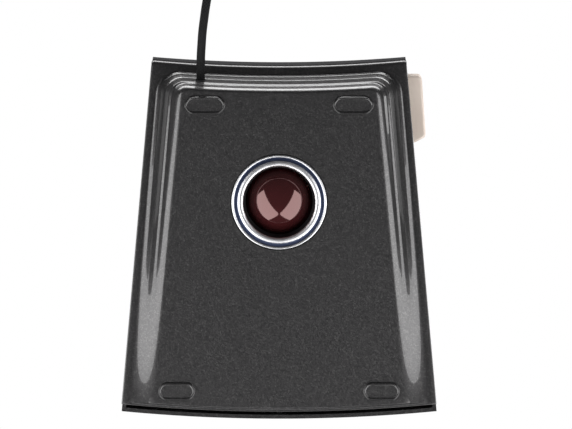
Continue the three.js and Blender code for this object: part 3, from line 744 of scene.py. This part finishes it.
def cover_top(x, y):
    """Height of the cover's outer surface: a crowned roof that rounds down to a low wall."""
    from_peak = y - ROOF_PEAK_Y
    fall = FRONT_FALL if from_peak > 0 else REAR_FALL
    roof = ROOF_HEIGHT - fall * from_peak**2 - ROOF_CROWN * (x / half_width(y)) ** 2
    rounding = (
        quarter_round(half_width(y) - abs(x), SIDE_ROUND)
        * quarter_round(front_y(x) - y, FRONT_ROUND)
        * quarter_round(y - rear_y(x), REAR_ROUND)
    )
    wall = lerp(*WALL_SHARE, smooth(*WALL_SHARE_GROWS, y))
    return lerp(parting_z(y), roof, wall + (1 - wall) * rounding)


def crowded(count):
    """Shares from 0 to 1 that crowd towards both ends, for rounded edges."""
    return [0.5 - 0.5 * math.cos(math.pi * k / count) for k in range(count + 1)]


def close_slab(mesh, layers):
    """Skins two grids of vertices that lie over each other, and joins their borders."""
    for grid in layers:
        for first, second in zip(grid, grid[1:]):
            for k in range(len(first) - 1):
                mesh.faces.new((first[k], first[k + 1], second[k + 1], second[k]))
    borders = []
    for grid in layers:
        right = [line[-1] for line in grid[1:]]
        left = [line[0] for line in reversed(grid[1:-1])]
        borders.append(grid[0] + right + list(reversed(grid[-1][:-1])) + left)
    bridge(mesh, *borders)


def plan_place(across, along, inset):
    """A place on the fan-shaped plan. The first x is a guess that only serves to find y."""
    guess = across * (half_width(lerp(BODY_REAR, BODY_FRONT, along)) - inset)
    y = lerp(rear_y(guess) + inset, front_y(guess) - inset, along)
    return across * (half_width(y) - inset), y


def cover_block(count, inset, low, high):
    """A closed block on the fan-shaped plan between a lower and an upper surface."""
    mesh = bmesh.new()
    shares = crowded(count)
    layers = []
    for surface in (low, high):
        grid = []
        for v in shares:
            places = [plan_place(2 * u - 1, v, inset) for u in shares]
            grid.append([mesh.verts.new((x, y, surface(x, y))) for x, y in places])
        layers.append(grid)
    close_slab(mesh, layers)
    return mesh


def make_cover():
    """The upper shell: a block, hollowed, with openings for the keys and the thumb button."""
    outer = cover_block(84, 0, lambda x, y: parting_z(y) + COVER_GAP, cover_top)
    inner = cover_block(
        40, COVER_WALL, lambda x, y: parting_z(y) - 2 * MM, lambda x, y: cover_top(x, y) - COVER_WALL
    )
    cover = publish("cover_shell", outer, "root", "shell_grey", ("top_cover",))
    subtract(cover, inner)
    opening = rounded_box(-KEY_HALF, KEY_HALF, KEY_REAR, KEY_FRONT, KEY_CORNER)
    subtract(cover, prism(opening, 18 * MM, 40 * MM))
    gap = 0.5 * MM
    slot = rounded_box(-60 * MM, -36 * MM, THUMB_LOW.y - 2 * gap, THUMB_HIGH.y + gap, 0.4 * MM)
    subtract(cover, prism(slot, THUMB_LOW.z - gap, THUMB_HIGH.z + gap))
    round_edges(cover, 0.35 * MM, 3, 38)


def make_key(name, side):
    """One main button: a patch of the roof, dished towards the front, with rounded edges."""
    inner = KEY_GAP
    outer = KEY_HALF - KEY_GAP
    rear = KEY_REAR + KEY_GAP
    front = KEY_FRONT - KEY_GAP
    mesh = bmesh.new()
    layers = []
    for skirt, dish in ((KEY_SKIRT, 0), (0, KEY_DISH)):
        grid = []
        for row in range(KEY_ROWS + 1):
            along = row / KEY_ROWS
            y = lerp(rear, front, along)
            line = []
            for column in range(KEY_COLUMNS + 1):
                across = column / KEY_COLUMNS
                x = side * lerp(inner, outer, across)
                hollow = dish * math.sin(math.pi * across) * smooth(0, 1, along)
                line.append(mesh.verts.new((x, y, cover_top(x, y) - skirt - hollow)))
            grid.append(line)
        layers.append(grid)
    close_slab(mesh, layers)
    key = publish(name + "_cap", mesh, name, "cream_plastic", (name,))
    round_edges(key, 0.5 * MM, 4, 40)


def make_thumb_button():
    """The thumb button: a block with a slanted rear corner and a rounded front one."""
    low, high = THUMB_LOW, THUMB_HIGH
    inner = low.x + 8.3 * MM
    front_x = low.x + 1.3 * MM
    corner = 1.5 * MM
    steps = 6
    outline = [
        (inner, low.y),
        (low.x + 3.6 * MM, low.y),
        (low.x + 0.4 * MM, low.y + 1.7 * MM),
        (low.x, low.y + 2.6 * MM),
        (front_x - 0.1 * MM, high.y - 1.7 * MM),
    ]
    for k in range(1, steps + 1):
        angle = math.pi / 2 * k / steps
        x = front_x + corner * (1 - math.cos(angle))
        outline.append((x, high.y - corner + corner * math.sin(angle)))
    outline.append((inner, high.y))
    block = prism(outline, low.z, high.z)
    button = publish("thumb_button_cap", block, "thumb_button", "cream_plastic", ("thumb_button",))
    round_edges(button, 0.8 * MM, 4, 40)


make_cover()
make_key("left_button", -1)
make_key("right_button", 1)
make_thumb_button()


# ------------------------------------------------------------------ ring, collar and ball
def swell(inner, outer, lowest, inner_rise, outer_rise):
    """A rounded band from one radius to another, lowest in its middle."""
    steps = 12
    points = []
    for k in range(steps + 1):
        across = 2 * k / steps - 1
        rise = (inner_rise if across < 0 else outer_rise) * abs(across) ** 3
        points.append((lerp(inner, outer, k / steps), lowest + rise))
    return points


def make_ring():
    """The bezel: two rounded bands with a groove between them."""
    bottom = ring_low.z
    top = ring_high.z
    inner = 11.55 * MM
    groove_wall = 0.15 * MM
    groove_floor = bottom + 0.4 * MM
    profile = [(inner, top)]
    profile += swell(inner, GROOVE_INNER, bottom, 0.55 * MM, 0.35 * MM)
    profile += [(GROOVE_INNER + groove_wall, groove_floor), (GROOVE_OUTER - groove_wall, groove_floor)]
    profile += swell(GROOVE_OUTER, RING_RADIUS, bottom, 0.3 * MM, 0.4 * MM)
    profile += [(RING_RADIUS, top)]
    mesh = lathe(profile, (BALL.x, BALL.y, 0), "Z", 160)
    publish("ring_bezel", mesh, "retainer", "polished_ring", ("retaining_ring",))


def make_collar():
    """The black collar: a cone that narrows to a lip round the ball, with a flange at its foot."""
    low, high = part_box("ball_retainer")
    outside = (high.x - low.x) / 2
    lip = 10.75 * MM
    foot = 11.9 * MM
    shoulder = 12.7 * MM
    flange = low.z + 0.7 * MM
    profile = [(lip + 0.5 * MM, high.z), (lip, high.z), (lip, high.z - 0.3 * MM), (foot, low.z)]
    profile += [(outside, low.z), (outside, flange), (shoulder, flange)]
    mesh = lathe(profile, (BALL.x, BALL.y, 0), "Z", 128)
    collar = publish("collar", mesh, "retainer", "black_plastic", ("ball_retainer",))
    round_edges(collar, 0.12 * MM, 2, 35)


def make_ball():
    mesh = bmesh.new()
    bmesh.ops.create_uvsphere(mesh, u_segments=128, v_segments=64, radius=BALL_RADIUS)
    bmesh.ops.translate(mesh, verts=mesh.verts, vec=BALL)
    publish("ball_surface", mesh, "ball_skin", "ball_maroon", ("ball_skin",))


make_ring()
make_collar()
make_ball()


# ------------------------------------------------------------------ cord, coil, tie and plug
ROUTE = (
    (25.15, 45.6, 8.2),
    (25.15, 48, 8.2),
    (25.15, 51, 8.2),
    (25.15, 54, 8),
    (25.1, 57, 7.4),
    (25, 60, 6.3),
    (24.8, 63, 5),
    (24.6, 66, 3.7),
    (24.3, 69, 2.6),
    (23.9, 72, 1.8),
    (23.5, 75, 1.42),
    (23, 78, 1.38),
    (22.5, 81, 1.38),
    (22.1, 84, 1.38),
    (21.8, 87, 1.38),
    (21.5, 90, 1.38),
    (21.4, 92.2, 1.38),
    (21.3, 96, 1.4),
    (21.22, 100, 1.4),
)
END_ROUTE = (
    (2.6, 125.9, 9.68),
    (-0.2, 126.7, 9.6),
    (-2.8, 127.4, 9.4),
    (-5.2, 128.1, 9.1),
    (-8.2, 129, 8.3),
    (-11.4, 129.6, 7.3),
    (-14.6, 130, 6.4),
    (-18, 130.1, 5.8),
    (-21.2, 130.1, 5.6),
)
CORD_PITCH = 2.78 * MM
CORD_STEP = 0.9 * MM
CORD_SIDES = 20
TURNS = 4
LAYERS = 4
TURN_POINTS = 40
LAST_TURN_DEGREES = 75
RISE_START = 0.94


def coil_place():
    """The coil's centre on the floor, and its outer radius."""
    low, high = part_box("cord_coil")
    return Vector(((low.x + high.x) / 2, (low.y + high.y) / 2, 0)), (high.x - low.x) / 2


def coil_points():
    """Four flat spirals on each other: in, out, in and out again, each rising to the next."""
    centre, outside = coil_place()
    outer = outside - CORD_RADIUS - 0.1 * MM
    total = TURNS * TURN_POINTS
    extra = round(TURN_POINTS * LAST_TURN_DEGREES / 360)
    points = []
    for step in range(LAYERS * total + extra + 1):
        layer = min(step // total, LAYERS - 1)
        share = step / total - layer
        inward = share if layer % 2 == 0 else 1 - share
        radius = outer - inward * TURNS * CORD_PITCH
        rise = smooth(RISE_START, 1.0, share) if layer < LAYERS - 1 else 0
        height = CORD_RADIUS + 0.03 * MM + (layer + rise) * CORD_PITCH
        angle = 2 * math.pi * step / TURN_POINTS
        spot = Vector((math.cos(angle) * radius, math.sin(angle) * radius, height))
        points.append(centre + spot)
    return points


def smooth_line(points):
    """A Catmull-Rom curve through the points, with eight places from each one to the next."""
    fine = []
    padded = [points[0] * 2 - points[1]] + points + [points[-1] * 2 - points[-2]]
    for a, b, c, d in zip(padded, padded[1:], padded[2:], padded[3:]):
        for k in range(8):
            t = k / 8
            curve = (2 * a - 5 * b + 4 * c - d) * t * t + (3 * b - a - 3 * c + d) * t**3
            fine.append(0.5 * (2 * b + (c - a) * t + curve))
    fine.append(points[-1])
    return fine


def resample(points, step):
    """A smooth line through the points, as points a fixed step apart."""
    fine = smooth_line(points)
    even = [fine[0]]
    carried = 0.0
    for first, second in zip(fine, fine[1:]):
        length = (second - first).length
        while carried + length >= step:
            first = first.lerp(second, (step - carried) / length)
            length = (second - first).length
            carried = 0.0
            even.append(first)
        carried += length
    if carried > step * 0.3:
        even.append(fine[-1])
    else:
        even[-1] = fine[-1]
    return even


def tube(name, line, body, slot, replaced):
    """The cord as a closed tube along a line, with a UV map: once round by metres along."""
    sides = CORD_SIDES
    mesh = bmesh.new()
    layer = mesh.loops.layers.uv.new("along")
    rings = []
    lengths = [0.0]
    normal = Vector((0, 0, 1))
    for k, spot in enumerate(line):
        before = line[max(k - 1, 0)]
        after = line[min(k + 1, len(line) - 1)]
        tangent = (after - before).normalized()
        normal = (normal - tangent * normal.dot(tangent)).normalized()
        across = tangent.cross(normal)
        ring = []
        for side in range(sides):
            angle = 2 * math.pi * side / sides
            offset = normal * math.cos(angle) + across * math.sin(angle)
            ring.append(mesh.verts.new(spot + offset * CORD_RADIUS))
        rings.append(ring)
        if k:
            lengths.append(lengths[-1] + (spot - before).length)
    for k in range(len(rings) - 1):
        for side in range(sides):
            other = (side + 1) % sides
            corners = (rings[k][side], rings[k][other], rings[k + 1][other], rings[k + 1][side])
            face = mesh.faces.new(corners)
            places = [(side, k), (side + 1, k), (side + 1, k + 1), (side, k + 1)]
            for loop, (u, v) in zip(face.loops, places):
                loop[layer].uv = (u / sides, lengths[v])
    mesh.faces.new(reversed(rings[0]))
    mesh.faces.new(rings[-1])
    return publish(name, mesh, body, slot, replaced)


def make_cord():
    """One sleeve from the grommet through the coil to the plug."""
    seen = [Vector(place) * MM for place in ROUTE]
    end = [Vector(place) * MM for place in END_ROUTE]
    line = resample(seen + coil_points() + end, CORD_STEP)
    sleeve = tube("cord_sleeve", line, "root", "braid_black", ("cord", "cord_coil", "cord_end"))
    plug = (make_boot(), make_grip(), make_plug_sleeve())
    make_tie()


PLUG_LOW, PLUG_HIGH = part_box("plug_body")
PLUG_CENTRE = (PLUG_LOW + PLUG_HIGH) / 2


def plug_part(node_name):
    """Where a part of the plug starts, its length towards -X and its outer radius."""
    low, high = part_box(node_name)
    start = (high.x, PLUG_CENTRE.y, PLUG_CENTRE.z)
    return start, high.x - low.x, (high.z - low.z) / 2


def make_boot():
    """The strain relief: five ribs that grow towards the grip."""
    start, length = plug_part("plug_boot")[:2]
    bore = 1.45 * MM
    thin = 2.3 * MM
    thick = 3.1 * MM
    ribs = 5
    outline = [(bore, 0), (2.0 * MM, 0), (thin, 0.3 * MM)]
    for k in range(ribs):
        at = lerp(0.8 * MM, length - 1.2 * MM, k / ribs)
        radius = lerp(thin, thick, k / ribs)
        crest = radius + 0.2 * MM
        groove = radius - 0.35 * MM
        outline += [(radius, at), (crest, at + 0.3 * MM), (crest, at + 0.9 * MM)]
        outline += [(groove, at + 1.15 * MM), (groove, at + 1.5 * MM)]
    outline += [(3.3 * MM, length), (bore, length)]
    mesh = lathe(outline, start, "X", 48)
    boot = publish("plug_strain_relief", mesh, "root", "black_plastic", ("plug_boot",))
    round_edges(boot, 0.08 * MM, 2, 35)
    return boot


def make_grip():
    """The plug's round grip, with seven grooves round it."""
    start, length, radius = plug_part("plug_body")
    crest = radius - 0.15 * MM
    groove = radius - 0.6 * MM
    edge = radius - 0.5 * MM
    grooves = 7
    outline = [(0, 0), (3.9 * MM, 0), (edge, 0.7 * MM)]
    for k in range(grooves):
        at = lerp(3.2 * MM, length - 5 * MM, k / (grooves - 1))
        outline += [(crest, at - 0.45 * MM), (groove, at - 0.2 * MM)]
        outline += [(groove, at + 0.2 * MM), (crest, at + 0.45 * MM)]
    outline += [(radius, length - 3 * MM), (radius, length - 1 * MM), (edge, length), (0, length)]
    mesh = lathe(outline, start, "X", 64)
    grip = publish("plug_grip", mesh, "root", "black_plastic", ("plug_body",))
    round_edges(grip, 0.12 * MM, 2, 30)
    return grip


def make_plug_sleeve():
    """The plug's thin metal sleeve."""
    start, length, outer = plug_part("plug_shell")
    inner = outer - 0.45 * MM
    outline = [(inner, 0), (outer, 0), (outer, length - 0.2 * MM)]
    outline += [(outer - 0.2 * MM, length), (inner, length - 0.1 * MM)]
    mesh = lathe(outline, start, "X", 64)
    return publish("plug_sleeve", mesh, "root", "steel", ("plug_shell",))


def make_tie():
    """A flat strap round one side of the coil."""
    low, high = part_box("coil_tie")
    wall = 0.7 * MM
    mesh = bmesh.new()
    outlines = (
        rounded_box(low.x, high.x, low.z + 0.02 * MM, high.z, 1.5 * MM),
        rounded_box(low.x + wall, high.x - wall, low.z + wall * 0.1, high.z - wall, 1.2 * MM),
    )
    sides = []
    for y in (low.y, high.y):
        rings = [[mesh.verts.new((x, y, z)) for x, z in outline] for outline in outlines]
        bridge(mesh, *rings)
        sides.append(rings)
    for k in range(2):
        bridge(mesh, sides[0][k], sides[1][k])
    return publish("strap", mesh, "root", "tie_black", ("coil_tie",))


make_cord()


# ------------------------------------------------------------------ floor, lights and world
def make_floor():
    """A pale floor that shows only from above. It casts no shadow and is in no reflection."""
    bpy.ops.mesh.primitive_plane_add(size=3, location=(0, 0, -0.05 * MM))
    floor = bpy.context.object
    floor.name = "floor"
    made, tree, shader = new_material("pale_floor")
    shader.inputs["Base Color"].default_value = (0.3, 0.3, 0.3, 1)
    shader.inputs["Roughness"].default_value = 0.7
    shader.inputs["Specular IOR Level"].default_value = 0
    shader.inputs["Emission Color"].default_value = (1, 1, 1, 1)
    shader.inputs["Emission Strength"].default_value = 0.8
    see_through = tree.nodes.new("ShaderNodeBsdfTransparent")
    mix = tree.nodes.new("ShaderNodeMixShader")
    side = tree.nodes.new("ShaderNodeNewGeometry")
    tree.links.new(side.outputs["Backfacing"], mix.inputs[0])
    tree.links.new(shader.outputs[0], mix.inputs[1])
    tree.links.new(see_through.outputs[0], mix.inputs[2])
    tree.links.new(mix.outputs[0], tree.nodes["Material Output"].inputs["Surface"])
    floor.data.materials.append(made)
    floor.visible_shadow = False
    floor.visible_glossy = False
    floor.visible_diffuse = False
    floor.visible_transmission = False


def area_light(name, place, turn, size, power):
    """A rectangular light that the camera doesn't see."""
    data = bpy.data.lights.new(name, "AREA")
    data.shape = "RECTANGLE"
    data.size, data.size_y = size
    data.energy = power
    light = bpy.data.objects.new(name, data)
    light.location = place
    light.rotation_euler = turn
    light.visible_camera = False
    scene.collection.objects.link(light)


def softbox(name, place, target, size, power):
    """A rectangular light at a place, facing a target."""
    aim = Vector(target) - Vector(place)
    area_light(name, place, aim.to_track_quat("-Z", "Y").to_euler(), size, power)


LIGHT_WALL_DISTANCE = 0.3
LIGHT_WALL_LENGTH = 6
LIGHT_WALL_TILT = math.radians(42.5)
LIGHT_WALL_RADIANCE = 3.0


def make_side_walls():
    """Two long soft walls that run past the camera, one at each side of the object.

    Their far ends meet in one direction, so a ball shows them as two petals with a common point.
    """
    along = Vector((0, -math.sin(LIGHT_WALL_TILT), -math.cos(LIGHT_WALL_TILT)))
    near_end = 0.1 * LIGHT_WALL_DISTANCE
    size = (LIGHT_WALL_LENGTH, 2 * LIGHT_WALL_DISTANCE)
    power = LIGHT_WALL_RADIANCE * math.pi * size[0] * size[1]
    for side, name in ((-1, "left_wall"), (1, "right_wall")):
        middle = along * (near_end + LIGHT_WALL_LENGTH / 2)
        middle.x = side * LIGHT_WALL_DISTANCE
        facing = Vector((side, 0, 0))
        turn = Matrix((along, facing.cross(along), facing)).transposed()
        area_light(name, middle, turn.to_euler(), size, power)


def make_lights():
    """The walls of light at the sides, and four soft boxes: place, target, size in metres, watts."""
    make_side_walls()
    softbox("front_softbox", (0, 0.6, 0.3), (0, 0.05, 0), (1.3, 0.34), 7.8)
    softbox("top_left_softbox", (-0.5, -0.1, 0.8), (0, 0, 0), (0.5, 0.8), 2.4)
    softbox("top_right_softbox", (0.6, -0.3, 0.6), (0, 0, 0), (0.5, 0.8), 1.7)
    softbox("rear_softbox", (0.1, -0.8, 0.5), (0, 0, 0), (1.2, 0.5), 1.2)


def make_world():
    """White behind the object, and a dim grey room in its reflections."""
    world = bpy.data.worlds.new("world")
    scene.world = world
    world.use_nodes = True
    tree = world.node_tree
    background = tree.nodes["Background"]
    background.inputs["Strength"].default_value = 1
    path = tree.nodes.new("ShaderNodeLightPath")
    mix = tree.nodes.new("ShaderNodeMix")
    mix.data_type = "RGBA"
    mix.inputs["A"].default_value = (0.06, 0.06, 0.0625, 1)
    mix.inputs["B"].default_value = (1, 1, 1, 1)
    tree.links.new(path.outputs["Is Camera Ray"], mix.inputs["Factor"])
    tree.links.new(mix.outputs["Result"], background.inputs["Color"])


make_floor()
make_lights()
make_world()
scene.view_settings.view_transform = "Standard"
